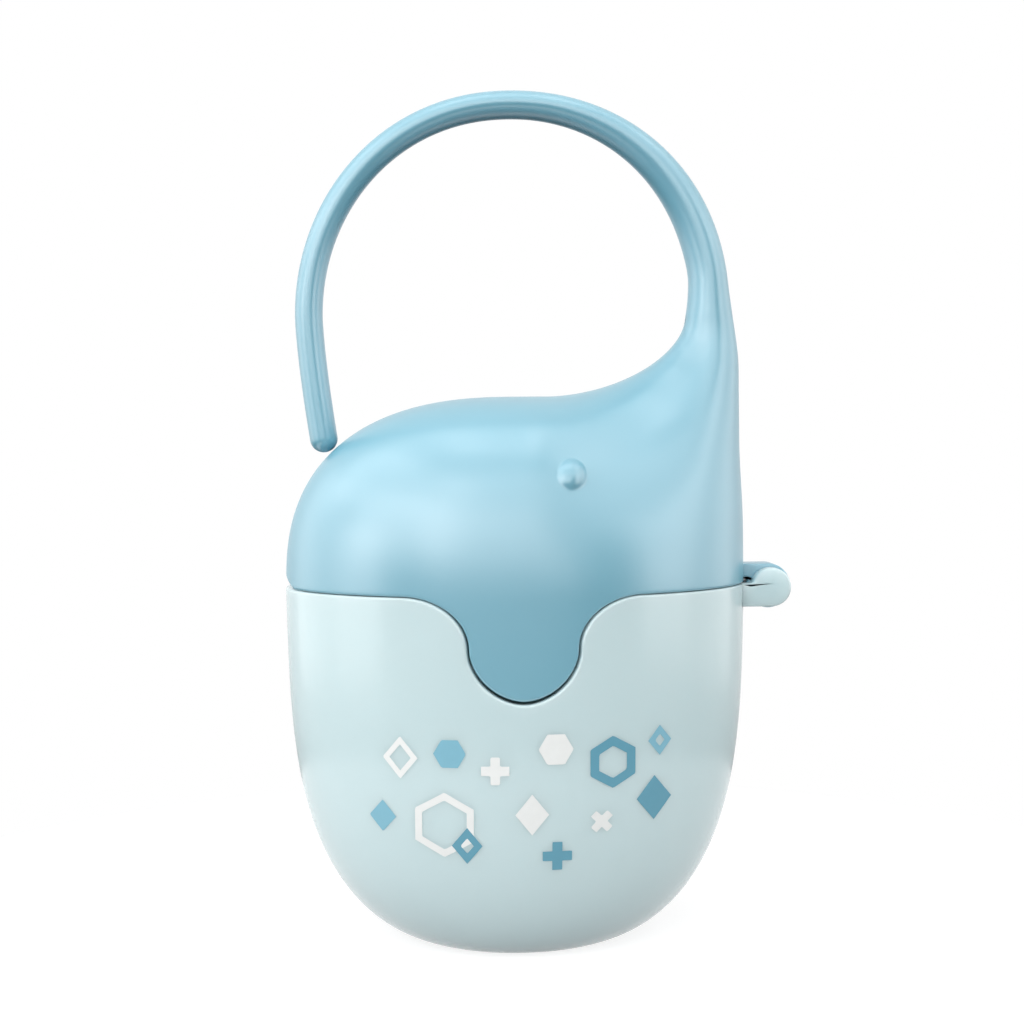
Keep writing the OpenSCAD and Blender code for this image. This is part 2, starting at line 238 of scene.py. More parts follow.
def rounded_prism(
    plan: MeshPlan, outline: np.ndarray, y0: float, y1: float, edge: float, hole: np.ndarray | None = None,
) -> None:
    """Adds a flat shape pushed along Y, with rounded rims at both faces.

    Args:
        plan: plan that takes the mesh.
        outline: closed n by 2 outline in X and Z, counter-clockwise seen from the front.
        y0: front face.
        y1: back face.
        edge: radius of the rims.
        hole: closed outline of a through bore, or None.
    """
    run = np.roll(outline, -1, 0) - np.roll(outline, 1, 0)
    run /= np.linalg.norm(run, axis=1, keepdims=True)
    inward = np.stack([-run[:, 1], run[:, 0]], 1)
    turn = np.radians(np.linspace(0.0, 90.0, 6))
    rows = [(edge * (1 - math.sin(t)), y0 + edge * (1 - math.cos(t))) for t in turn]
    rows += [(edge * (1 - math.sin(t)), y1 - edge * (1 - math.cos(t))) for t in turn[::-1]]
    rings = [np.insert(outline + inward * inset, 1, y, axis=1) for inset, y in rows]
    ids = plan.add(np.stack(rings))
    plan.grid(ids, closed=True)
    for face_ids, y, front in ((ids[0], y0, True), (ids[-1], y1, False)):
        if hole is None:
            middle = np.array([outline[:, 0].mean(), y, outline[:, 1].mean()])
            hub = plan.add(middle[None])[0]
            plan.fan(face_ids.tolist(), int(hub), flip=front)
        else:
            ring = plan.add(np.insert(hole, 1, y, axis=1))
            bridge(plan, face_ids, ring)
    if hole is not None:
        bore = plan.add(np.stack([np.insert(hole, 1, y0, axis=1), np.insert(hole, 1, y1, axis=1)]))
        plan.grid(bore, closed=True, flip=True)


def bridge(plan: MeshPlan, outer: np.ndarray, inner: np.ndarray) -> None:
    """Joins two closed rings with different numbers of points by triangles."""
    pts = np.concatenate(plan.points)
    centre = pts[inner].mean(0)

    def bearing(ids: np.ndarray) -> np.ndarray:
        """Returns the bearings of points as seen from the middle of the inner ring."""
        return np.unwrap(np.arctan2(pts[ids, 2] - centre[2], pts[ids, 0] - centre[0]))

    turn_a = bearing(outer)
    gap = np.angle(np.exp(1j * (bearing(inner) - turn_a[0])))
    inner = np.roll(inner, -int(np.argmin(np.abs(gap))))
    turn_b = bearing(inner)
    turn_b += 2 * math.pi * round((turn_a[0] - turn_b[0]) / (2 * math.pi))
    na, nb = len(outer), len(inner)
    full = 2 * math.pi * np.sign(turn_a[-1] - turn_a[0])
    i = j = 0
    while i < na or j < nb:
        next_a = turn_a[(i + 1) % na] + (full if i + 1 >= na else 0.0)
        next_b = turn_b[(j + 1) % nb] + (full if j + 1 >= nb else 0.0)
        if j >= nb or (i < na and abs(next_a - turn_a[0]) <= abs(next_b - turn_a[0])):
            plan.faces.append((int(outer[i % na]), int(outer[(i + 1) % na]), int(inner[j % nb])))
            i += 1
        else:
            plan.faces.append((int(outer[i % na]), int(inner[(j + 1) % nb]), int(inner[j % nb])))
            j += 1


def circle(x: float, z: float, radius: float, count: int = 72) -> np.ndarray:
    """Returns a closed circle in X and Z, counter-clockwise seen from the front."""
    turn = np.linspace(0.0, 2 * math.pi, count, endpoint=False)
    return np.stack([x + radius * np.cos(turn), z + radius * np.sin(turn)], 1)


# ---------------------------------------------------------------- form shared by cup and lid


@dataclass(frozen=True)
class CupForm:
    """Walls of the cup and the ear-shaped lap curve, in millimetres."""

    width: float = 70.3
    depth: float = 53.0
    height: float = 54.0
    foot_width: float = 25.4
    foot_depth: float = 24.4
    oval: float = 2.0
    fullness: float = 1.87
    lean: float = 0.05
    bowl_power: float = 3.25
    foot_cut: float = 0.6
    wall: float = 1.8
    edge: float = 0.35
    tongue_width: float = 15.7
    neck: float = 0.1
    tongue_end: float = 7.3
    tongue_fullness: float = 1.85
    shoulder_width: float = 9.4
    shoulder: float = 7.3
    lap_gap: float = 0.35

    @property
    def lap_half(self) -> float:
        """Half width of the whole lap curve."""
        return self.tongue_width / 2 + self.shoulder_width

    def bowl(self, t: np.ndarray, r0: float, r1: float) -> np.ndarray:
        """Returns the half size of the bowl at a share t of its height."""
        t = np.clip(t, 0.0, 1.0)
        rise = (1.0 - (1.0 - t) ** self.bowl_power) ** (1.0 / self.fullness)
        return blend(r0, r1, rise - self.lean * t * (1.0 - t))

    def across(self, c: np.ndarray) -> np.ndarray:
        """Returns the share of the half depth at a share c of the half width."""
        return round_fall(np.abs(c), self.oval)

    def outside(self, c: np.ndarray, z: np.ndarray, inset: float = 0.0) -> np.ndarray:
        """Gives points of the front half of the cup's outside.

        Args:
            c: share of the half width, from -1 to 1.
            z: height.
            inset: distance inside the surface.

        Returns:
            Array of X, Y, Z.
        """
        c, z = np.broadcast_arrays(c, z)
        a = self.bowl(z / self.height, self.foot_width / 2, self.width / 2)
        b = self.bowl(z / self.height, self.foot_depth / 2, self.depth / 2)
        return np.stack([(a - inset) * c, -(b - inset) * self.across(c), z], -1)

    def inside(self, c: np.ndarray, z: np.ndarray, inset: float = 0.0) -> np.ndarray:
        """Gives points of the front half of the cup's inside, as outside does."""
        c, z = np.broadcast_arrays(c, z)
        t, cut = (z - self.wall) / (self.height - self.wall), self.wall * self.foot_cut
        a = self.bowl(t, self.foot_width / 2 - cut, self.width / 2 - self.wall)
        b = self.bowl(t, self.foot_depth / 2 - cut, self.depth / 2 - self.wall)
        return np.stack([(a - inset) * c, -(b - inset) * self.across(c), z], -1)

    def lap_curve(self, gap: float, step: float = 0.3) -> np.ndarray:
        """Draws the lap curve from its left end to its right end.

        Args:
            gap: how far the curve is widened.
            step: spacing of its points.

        Returns:
            n by 2 array of distance from the middle and height above the rim.
        """
        t = np.radians(np.linspace(0.0, 90.0, 60))
        shoulder = np.stack(
            [-self.lap_half + (self.shoulder_width - gap) * np.sin(t), -self.shoulder * (1 - np.cos(t))], 1)
        fall = 2 / self.tongue_fullness
        end = np.stack([-(self.tongue_width / 2 + gap) * np.maximum(np.cos(t), 0.0) ** fall,
                        -self.shoulder - self.neck - (self.tongue_end + gap) * np.sin(t) ** fall], 1)
        half = np.concatenate([shoulder, end])
        full = np.concatenate([half, (half * [-1.0, 1.0])[-2::-1]])
        return spaced(full, step)

    def side_shares(self, count: int) -> np.ndarray:
        """Returns count + 1 shares of the half width, from -1 to the left end of the lap curve."""
        last = math.acos((self.lap_half / (self.width / 2)) ** (self.oval / 2))
        return -np.cos(np.linspace(0.0, last, count + 1)) ** (2 / self.oval)


FORM = CupForm()


def mirrored(points: np.ndarray) -> np.ndarray:
    """Returns the points of the back half for those of the front half."""
    return points * np.array([1.0, -1.0, 1.0])


def fill_window(
    plan: MeshPlan, rim: np.ndarray, lap: np.ndarray, place: Callable[[np.ndarray, np.ndarray], np.ndarray],
    edge: float, inner_step: float = 0.9,
) -> None:
    """Fills the flat region between a straight-sided frame and the lap curve with fine triangles.

    Args:
        plan: plan that takes the mesh.
        rim: k by 2 chain round the window, from one end of the lap curve to the other.
        lap: n by 2 chain of the lap curve, from its left end to its right end.
        place: turns flat points and their distance from the lap curve into X, Y, Z.
        edge: radius over which rows of points lie close to the lap curve.
        inner_step: spacing of the points in the middle of the region.
    """
    loop = np.concatenate([lap, rim[1:-1]])
    edges = [(k, (k + 1) % len(loop)) for k in range(len(loop))]
    rows = []
    for depth in edge * NEAR_SHARES:
        for sign in (1.0, -1.0):
            rows.append(offset_line(lap, sign * depth))
    xs = np.arange(loop[:, 0].min(), loop[:, 0].max(), inner_step)
    zs = np.arange(loop[:, 1].min(), loop[:, 1].max(), inner_step)
    lattice = np.stack(np.meshgrid(xs, zs), -1).reshape(-1, 2)
    lattice[:, 0] += ((np.arange(len(lattice)) // len(xs)) % 2) * inner_step / 2
    keep = lattice[distance_to_line(lattice, lap) > edge * 3.2]
    near = []
    for k, row in enumerate(rows):
        depth = edge * NEAR_SHARES[k // 2]
        near.append(row[distance_to_line(row, lap) > depth * 0.98])
    extra = np.concatenate([keep] + near)
    extra = extra[inside_loop(extra, loop)]
    extra = extra[distance_to_line(extra, rim) > 0.12]
    flat = [Vector(p) for p in np.concatenate([loop, extra]).tolist()]
    out = delaunay_2d_cdt(flat, edges, [list(range(len(loop)))], 1, 1e-6)
    points = np.array([[p.x, p.y] for p in out[0]])
    depth = distance_to_line(points, lap)
    ids = plan.add(place(points, depth))
    for tri in out[2]:
        plan.faces.append(tuple(int(ids[k]) for k in tri))


def inside_loop(points: np.ndarray, loop: np.ndarray) -> np.ndarray:
    """Tells which flat points lie inside a closed outline."""
    x, z = points[:, 0][:, None], points[:, 1][:, None]
    x0, z0 = loop[:, 0], loop[:, 1]
    x1, z1 = np.roll(x0, -1), np.roll(z0, -1)
    crosses = ((z0 > z) != (z1 > z)) & (x < (x1 - x0) * (z - z0) / (z1 - z0 + 1e-15) + x0)
    return crosses.sum(1) % 2 == 1


# ---------------------------------------------------------------- finishes


def socket(node: bpy.types.Node, name: str, value: object) -> None:
    """Sets the default value of a node's input."""
    node.inputs[name].default_value = value


@dataclass(frozen=True)
class MouldedPlastic:
    """Moulded polypropylene: a milky body, a fine mould grain and a little unevenness of tone."""

    name: str
    colour: tuple[float, float, float]
    shade: tuple[float, float, float]
    roughness: float = 0.3
    coat: float = 0.0
    milky: float = 0.2
    depth: float = 0.003
    specular: float = 0.5
    index: float = 1.49
    grain: float = 0.02
    grain_scale: float = 900.0

    def material(self) -> bpy.types.Material:
        """Builds the material from this finish."""
        made = bpy.data.materials.new(self.name)
        made.use_nodes = True
        nodes, links = made.node_tree.nodes, made.node_tree.links
        shader = nodes["Principled BSDF"]
        where = nodes.new("ShaderNodeTexCoord")
        cloud = nodes.new("ShaderNodeTexNoise")
        socket(cloud, "Scale", 26.0)
        socket(cloud, "Detail", 3.0)
        tone = nodes.new("ShaderNodeMix")
        tone.data_type = "RGBA"
        tone.inputs[6].default_value = (*self.colour, 1.0)
        tone.inputs[7].default_value = (*self.shade, 1.0)
        skin = nodes.new("ShaderNodeTexNoise")
        socket(skin, "Scale", self.grain_scale)
        socket(skin, "Detail", 2.0)
        gloss = nodes.new("ShaderNodeMapRange")
        socket(gloss, "To Min", self.roughness * 0.88)
        socket(gloss, "To Max", self.roughness * 1.12)
        bump = nodes.new("ShaderNodeBump")
        socket(bump, "Strength", self.grain)
        socket(bump, "Distance", 0.0004)
        links.new(where.outputs["Object"], cloud.inputs["Vector"])
        links.new(where.outputs["Object"], skin.inputs["Vector"])
        links.new(cloud.outputs["Fac"], tone.inputs["Factor"])
        links.new(tone.outputs[2], shader.inputs["Base Color"])
        links.new(cloud.outputs["Fac"], gloss.inputs["Value"])
        links.new(gloss.outputs["Result"], shader.inputs["Roughness"])
        links.new(skin.outputs["Fac"], bump.inputs["Height"])
        links.new(bump.outputs["Normal"], shader.inputs["Normal"])
        socket(shader, "IOR", self.index)
        socket(shader, "Specular IOR Level", self.specular)
        socket(shader, "Subsurface Weight", self.milky)
        socket(shader, "Subsurface Radius", (1.0, 1.0, 1.0))
        socket(shader, "Subsurface Scale", self.depth)
        socket(shader, "Coat Weight", self.coat)
        socket(shader, "Coat Roughness", self.roughness * 0.8)
        return made


@dataclass(frozen=True)
class PadInk:
    """Opaque pad-printing ink on the moulded wall."""

    name: str
    colour: tuple[float, float, float]
    roughness: float = 0.35

    def material(self) -> bpy.types.Material:
        """Builds the material from this finish."""
        made = bpy.data.materials.new(self.name)
        made.use_nodes = True
        nodes, links = made.node_tree.nodes, made.node_tree.links
        shader = nodes["Principled BSDF"]
        where = nodes.new("ShaderNodeTexCoord")
        speck = nodes.new("ShaderNodeTexNoise")
        socket(speck, "Scale", 700.0)
        tone = nodes.new("ShaderNodeMix")
        tone.data_type = "RGBA"
        tone.inputs[6].default_value = (*self.colour, 1.0)
        tone.inputs[7].default_value = (*[v * 0.94 for v in self.colour], 1.0)
        links.new(where.outputs["Object"], speck.inputs["Vector"])
        links.new(speck.outputs["Fac"], tone.inputs["Factor"])
        links.new(tone.outputs[2], shader.inputs["Base Color"])
        socket(shader, "Roughness", self.roughness)
        socket(shader, "IOR", 1.49)
        return made


CUP_PLASTIC = MouldedPlastic(
    "milky_mint_plastic", colour=(0.59, 0.74, 0.765), shade=(0.56, 0.71, 0.735),
    roughness=0.2, coat=0.2, milky=0.5, depth=0.004)
LID_PLASTIC = MouldedPlastic(
    "soft_blue_plastic", colour=(0.165, 0.40, 0.505), shade=(0.15, 0.385, 0.485),
    roughness=0.34, coat=0.2, milky=0.15, depth=0.002, specular=1.0, index=1.7)
TRAY_PLASTIC = MouldedPlastic(
    "cloudy_tray_plastic", colour=(0.70, 0.83, 0.82), shade=(0.66, 0.80, 0.79), milky=0.4)
PIN_PLASTIC = MouldedPlastic(
    "pale_pin_plastic", colour=(0.60, 0.77, 0.77), shade=(0.56, 0.73, 0.73), milky=0.3)
WHITE_INK = PadInk("white_ink", (0.84, 0.86, 0.85))
BLUE_INK = PadInk("blue_ink", (0.12, 0.34, 0.45))
SKY_INK = PadInk("sky_ink", (0.22, 0.48, 0.60))


def attach(piece: bpy.types.Object, material: bpy.types.Material, body: Body, slot: str, *nodes: str) -> None:
    """Dresses a piece and ties it to its body.

    Args:
        piece: finished object.
        material: its finish.
        body: body that it rides on.
        slot: not used.
        *nodes: nodes of the frame that it stands for.
    """
    piece.data.materials.clear()
    piece.data.materials.append(material)
    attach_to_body(piece, body.value)
    if nodes:
        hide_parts(*nodes)
    LOG.info("%s: %d faces on body %s", piece.name, len(piece.data.polygons), body.value)


# ---------------------------------------------------------------- hinge


@dataclass(frozen=True)
class Hinge:
    """Ears of the cup, knuckle of the lid and the pin, in millimetres."""

    radius: float = 3.4
    ear_radius: float = 2.95
    knuckle: float = 5.0
    ear: float = 3.0
    side_gap: float = 0.25
    pin: float = 1.2
    run: float = 0.06
    blind: float = 0.9
    wall_gap: float = 0.3
    drop: float = 0.6
    round_edge: float = 0.45

    @property
    def x(self) -> float:
        """Distance of the axis from the middle of the cup."""
        return FORM.width / 2 + self.radius + self.wall_gap

    @property
    def z(self) -> float:
        """Height of the axis."""
        return FORM.height - self.drop

    def ear_outline(self) -> np.ndarray:
        """Returns the outline of an ear with the stem that joins it to the wall."""
        root, fillet = FORM.width / 2 - FORM.wall * 0.6, 0.7
        rise = math.degrees(math.asin((self.drop + fillet) / (self.ear_radius + fillet)))
        turn = np.radians(np.linspace(-90.0, 180.0 - rise, 64))
        disc = np.stack([self.x + self.ear_radius * np.cos(turn), self.z + self.ear_radius * np.sin(turn)], 1)
        reach = self.x - (self.ear_radius + fillet) * math.cos(math.radians(rise))
        turn = np.radians(np.linspace(-rise, -90.0, 12))
        hollow = np.stack([reach + fillet * np.cos(turn), FORM.height + fillet + fillet * np.sin(turn)], 1)
        stem = np.array([[root, FORM.height], [root, self.z - self.ear_radius]])
        return np.concatenate([disc, hollow[1:], stem])

    def knuckle_outline(self) -> np.ndarray:
        """Returns the outline of the knuckle with the arm that joins it to the lid."""
        root = FORM.width / 2 - FORM.wall * 0.7
        low = FORM.height + 0.5
        rise = math.degrees(math.asin((low - self.z) / self.radius))
        turn = np.radians(np.linspace(180.0 - rise - 360.0, 90.0, 72))
        disc = np.stack([self.x + self.radius * np.cos(turn), self.z + self.radius * np.sin(turn)], 1)
        arm = np.array([[root, self.z + self.radius], [root, low]])
        return np.concatenate([disc, arm])


HINGE = Hinge()


@dataclass
class HingePin:
    """The plastic pin, pressed in from the back ear."""

    chamfer: float = 0.25

    def build(self) -> bpy.types.Object:
        """Makes the pin with rounded rims at both ends."""
        plan = MeshPlan()
        y0 = -(HINGE.knuckle / 2 + HINGE.side_gap + HINGE.ear - HINGE.blind)
        y1 = HINGE.knuckle / 2 + HINGE.side_gap + HINGE.ear
        outline = circle(HINGE.x, HINGE.z, HINGE.pin, 48)
        rounded_prism(plan, outline, y0, y1, self.chamfer)
        return plan.mesh("hinge_pin_turned")

    def dress(self, piece: bpy.types.Object) -> None:
        """Gives the pin its finish and its body."""
        crisp(piece)
        attach(piece, PIN_PLASTIC.material(), Body.CUP, "pin_plastic", "hinge_pin")


# ---------------------------------------------------------------- cup


@dataclass
class Cup:
    """The pale cup with its notched rim and its hinge ears."""

    side_columns: int = 70
    low_rows: int = 46
    window_low: float = 34.0
    inner_edge: float = 0.3

    def wall_rows(self, inner: bool) -> np.ndarray:
        """Returns the heights of the rows of a wall, up to the bottom of the window."""
        floor = FORM.wall if inner else 0.0
        share = np.linspace(0.0, 1.0, self.low_rows) ** 1.7
        return floor + (self.window_low - floor) * share

    def build_wall(self, plan: MeshPlan, inner: bool) -> np.ndarray:
        """Adds one wall, with a notch in the front and in the back.

        Args:
            plan: plan that takes the mesh.
            inner: the inside wall, or else the outside wall.

        Returns:
            Point numbers of the rim, all the way round.
        """
        skin = FORM.inside if inner else FORM.outside
        edge = self.inner_edge if inner else FORM.edge
        lap = FORM.lap_curve(FORM.lap_gap)
        half = FORM.width / 2
        side = FORM.side_shares(self.side_columns)
        window = np.linspace(side[-1], -side[-1], 72)
        columns = np.concatenate([side, window[1:-1], -side[::-1]])
        rows = self.wall_rows(inner)
        upper = np.linspace(self.window_low, FORM.height - edge, 26)[1:]
        near = FORM.height - edge * np.array([0.78, 0.56, 0.36, 0.2, 0.08, 0.0])
        high = np.concatenate([[self.window_low], upper, near])
        rims = []
        for side_sign in Side:
            turn = (lambda p: p) if side_sign is Side.FRONT else mirrored
            flip = (side_sign is Side.BACK) != inner
            ids = plan.add(turn(skin(columns[None, :], rows[:, None])))
            plan.grid(ids, flip=flip)
            fall = quarter_drop(FORM.height - high, edge)[:, None]
            sign = -1.0 if inner else 1.0
            for part in (side, -side[::-1]):
                pts = skin(part[None, :], high[:, None], sign * fall)
                ids = plan.add(turn(pts))
                plan.grid(ids, flip=flip)
            low_line = np.stack([window * half, np.full(len(window), self.window_low - FORM.height)], 1)
            climb = high - FORM.height
            left = np.stack([np.full(len(climb), -FORM.lap_half), climb], 1)
            right = left * [-1.0, 1.0]
            frame_line = np.concatenate([right[::-1], low_line[::-1][1:-1], left])

            def place(flat: np.ndarray, depth: np.ndarray) -> np.ndarray:
                """Lays flat window points on the wall, falling back at the notch."""
                drop = quarter_drop(depth, edge) * sign
                pts = skin(flat[:, 0] / half, flat[:, 1] + FORM.height, drop)
                return turn(pts)

            fill_window(plan, frame_line, lap, place, edge)
            whole = np.concatenate([
                np.stack([side[:-1] * half, np.zeros(len(side) - 1)], 1), lap,
                np.stack([-side[:-1][::-1] * half, np.zeros(len(side) - 1)], 1)])
            rims.append(turn(skin(whole[:, 0] / half, whole[:, 1] + FORM.height, sign * edge)))
        loop = np.concatenate([rims[0], rims[1][::-1][1:-1]])
        return plan.add(loop)

    def build(self) -> bpy.types.Object:
        """Makes the cup as one mesh."""
        plan = MeshPlan()
        outer = self.build_wall(plan, inner=False)
        inner = self.build_wall(plan, inner=True)
        plan.grid(np.stack([outer, inner]), closed=True)
        for inner_side, z in ((False, 0.0), (True, FORM.wall)):
            skin = FORM.inside if inner_side else FORM.outside
            side = FORM.side_shares(self.side_columns)
            window = np.linspace(side[-1], -side[-1], 72)
            columns = np.concatenate([side, window[1:-1], -side[::-1]])
            ring = skin(columns, np.full(len(columns), z))
            ring = np.concatenate([ring, mirrored(ring)[::-1][1:-1]])
            ids = plan.add(ring)
            hub = plan.add(np.array([[0.0, 0.0, z]]))[0]
            plan.fan(ids.tolist(), int(hub), flip=not inner_side)
        ear_in = HINGE.knuckle / 2 + HINGE.side_gap
        ear_out = ear_in + HINGE.ear
        outline = HINGE.ear_outline()
        rounded_prism(plan, outline, -ear_out, -ear_in, HINGE.round_edge)
        bore = circle(HINGE.x, HINGE.z, HINGE.pin + 0.02)
        rounded_prism(plan, outline, ear_in, ear_out, HINGE.round_edge, bore)
        return plan.mesh("cup_moulding")

    def dress(self, piece: bpy.types.Object) -> None:
        """Gives the cup its finish and its body."""
        crisp(piece)
        attach(piece, CUP_PLASTIC.material(), Body.CUP, "cup_plastic", "case_body")


# ---------------------------------------------------------------- lid


@dataclass
class HeadLid:
    """The elephant's head with its trunk handle, lap tongues, eyes and knuckle."""

    step: float = 0.05
    rim_gap: float = 0.12
    crown: float = 28.7
    forehead: float = 2.48
    bevel: float = 1.6
    collar: float = 2.6
    collar_thick: float = 1.1
    collar_gap: float = 0.15
    eye_x: float = 7.2
    eye_up: float = 17.2
    eye_radius: float = 2.6
    eye_out: float = 1.1
    nape: float = 5.0
    nape_fullness: float = 1.83
    root_up: float = 41.0
    arch_up: float = 34.2
    arch_in: float = 1.85
    arch_fullness: float = 2.09
    arch_skew: float = 0.06
    root_width: float = 7.15
    root_depth: float = 9.2
    neck_width: float = 5.9
    trunk_width: float = 4.2
    tip_depth: float = 6.4
    tail: float = 18.5
    tail_lean: float = 2.05
    root_share: float = 23.0
    side_columns: int = 70
    window_up: float = 6.0
    low_share: float = 0.55
    rows: int = 90
    low_count: int = 14

    @property
    def side(self) -> float:
        """Half width of the head at the rim."""
        return FORM.width / 2 - self.step

    @property
    def deep(self) -> float:
        """Half depth of the head at the rim."""
        return FORM.depth / 2 - self.step

    @property
    def arch_radius(self) -> float:
        """Half width of the trunk's arch, outside."""
        return FORM.width / 2 - self.arch_in

    def flare(self, h: np.ndarray) -> np.ndarray:
        """Returns how far the hinge side stands outside the arch at a height above the rim."""
        t = np.asarray(h) / self.root_up
        drawn = 0.25 * smooth_step((t - 0.195) / 0.34) + 0.75 * smooth_step((t - 0.793) / 0.33)
        return (self.side - self.arch_radius) * (1 - drawn)

    @property
    def root_outer(self) -> float:
        """X of the hinge side of the trunk's root."""
        return self.arch_radius + float(self.flare(self.root_up))

    @property
    def root_inner(self) -> float:
        """X of the free side of the trunk's root."""
        return self.root_outer - self.root_width

    def crown_point(self, x: np.ndarray, end: float) -> tuple[np.ndarray, np.ndarray]:
        """Gives the crown line for columns of the rim, up to the inner side of the trunk root.

        Args:
            x: place of each column on the rim.
            end: place of the last column that meets the crown line.

        Returns:
            The X and the height above the rim of the crown line.
        """
        share = np.clip((x - self.nape) / (end - self.nape), 0.0, 1.0)
        turn = np.radians(90.0 * (0.52 * share + 0.48 * share**2))
        power = 2 / self.nape_fullness
        back_x = blend(self.nape, self.root_inner, np.sin(turn) ** power)
        back_z = blend(self.root_up, self.crown, np.clip(np.cos(turn), 0, 1) ** power)
        front_z = self.crown * round_fall(np.abs(x) / self.side, self.forehead)
        z = np.where(x < 0, front_z, np.where(x <= self.nape, self.crown, back_z))
        return np.where(x <= self.nape, x, back_x), z

    def rim_height(self, c: np.ndarray) -> np.ndarray:
        """Returns the lower edge of the head above the rim, with the thumb bevel at its free side."""
        rise = self.bevel * np.clip((-c - 0.955) / 0.045, 0.0, 1.0) ** 1.3
        return self.rim_gap + rise

    def half_depth(self, x: np.ndarray, h: np.ndarray) -> np.ndarray:
        """Gives the head's half depth, front to back, over its outline seen from the front.

        The dome of the forehead and the neck are blended along X. Both are rounded towards the
        crown line, over a distance that shrinks from the whole dome to the trunk's half width.

        Args:
            x: distance from the middle.
            h: height above the rim.

        Returns:
            The half depth, which is 0 on the outline.
        """
        rise = smooth_step(h / self.root_up)
        end = self.arch_radius + self.flare(h)
        dome = self.deep * round_fall(np.abs(x / end), FORM.oval)
        inward = 1 - (end - x) / blend(end, self.root_width / 2, rise)
        neck = blend(self.deep, self.root_depth / 2, rise) * round_fall(inward, blend(FORM.oval, 2.0, rise))
        run, climb = self.root_inner - self.nape, self.root_up - self.crown
        u = np.maximum(0.0, x - self.nape) / run
        v = np.maximum(0.0, self.root_up - h) / climb
        loop = np.maximum((u**self.nape_fullness + v**self.nape_fullness) ** (1 / self.nape_fullness), 1e-6)
        away = (1 - 1 / loop) * np.hypot(u * run, v * climb)
        turn = smooth_step(np.arctan2(u, v) / (math.pi / 2))
        near_neck = 1 - away / blend(self.crown, self.root_width / 2, turn)
        top = np.maximum(1e-6, self.crown * round_fall(np.maximum(-x, 0.0) / self.side, self.forehead))
        power = blend(self.forehead, 2.0, np.where(x < 0, 0.0, turn))
        cap = round_fall(np.where(x < 0, h / top, near_neck), power)
        return cap * blend(dome, neck, smooth_step(x / self.root_inner))

    def head_surface(self, c: np.ndarray, h: np.ndarray, col: np.ndarray) -> np.ndarray:
        """Gives points of the front half of the head.

        Args:
            c: share of the half width, for each column.
            h: height above the rim, rows by columns.
            col: for columns that run into the trunk, how far round its root, from 0 to 1.

        Returns:
            Array of X, Y, Z.
        """
        x, up = self.side * c, self.side * c > self.root_share + 1e-6
        crown_x, crown_z = self.crown_point(x, self.root_share)
        top_x = np.where(up, self.root_outer - self.root_width / 2 * (1 + np.cos(np.pi * col)), crown_x)
        w = np.clip(h / np.where(up, self.root_up, np.maximum(crown_z, 1e-6)), 0.0, 1.0)
        pull = smooth_step((x - self.root_share) / (self.side - self.root_share))
        drawn = (self.side - self.arch_radius - self.flare(h)) / (self.side - self.root_outer)
        at = x + (top_x - x) * np.where(up, blend(w * w, drawn, pull), w * w)
        y = np.where(~up & (w >= 1.0), 0.0, self.half_depth(at, h))
        return np.stack([at, -y, np.broadcast_to(FORM.height + h, w.shape)], -1)

    def trunk_sections(self) -> list[tuple[float, float, float, float, float, float]]:
        """Lists the trunk's sections: middle X and Z, outward X and Z, width and depth."""
        found = []
        base = FORM.height + self.root_up
        for e in np.linspace(0.0, 180.0, 121):
            c, s = math.cos(math.radians(e)), math.sin(math.radians(e))
            full = self.arch_fullness + self.arch_skew * c
            reach = ((abs(c) / self.arch_radius) ** full + (abs(s) / self.arch_up) ** full) ** (-1 / full)
            width = float(blend(self.neck_width, self.trunk_width, smooth_step((e - 18) / 72)))
            width += (self.root_width - self.neck_width) * max(0.0, 1 - e / 15) ** 2
            depth = self.root_depth + (self.tip_depth - self.root_depth) * (e / 180) ** 0.6
            r = reach - width / 2 + max(0.0, c) * float(self.flare(self.root_up + reach * s))
            found.append((r * c, base + r * s, c, s, width, depth))

        def tail_x(h: float) -> float:
            """Returns the inward lean of the free end at a distance below the arch."""
            return self.tail_lean * (max(h, 0.0) / self.tail) ** 1.4

        for h in np.linspace(0.0, self.tail, 31)[1:]:
            slope = (tail_x(h) - tail_x(h - 0.1)) / 0.1
            size = math.hypot(1.0, slope)
            found.append((-self.arch_radius + self.trunk_width / 2 + tail_x(h), base - h,
                          -1 / size, -slope / size, self.trunk_width, self.tip_depth))
        x0, z0, nx, nz = found[-1][:4]
        for u in np.sin(np.radians(np.linspace(0.0, 88.0, 12)))[1:]:
            s = math.sqrt(1 - u * u)
            reach = u * self.trunk_width / 2
            found.append((x0 - nz * reach, z0 + nx * reach, nx, nz, self.trunk_width * s, self.tip_depth * s))
        return found

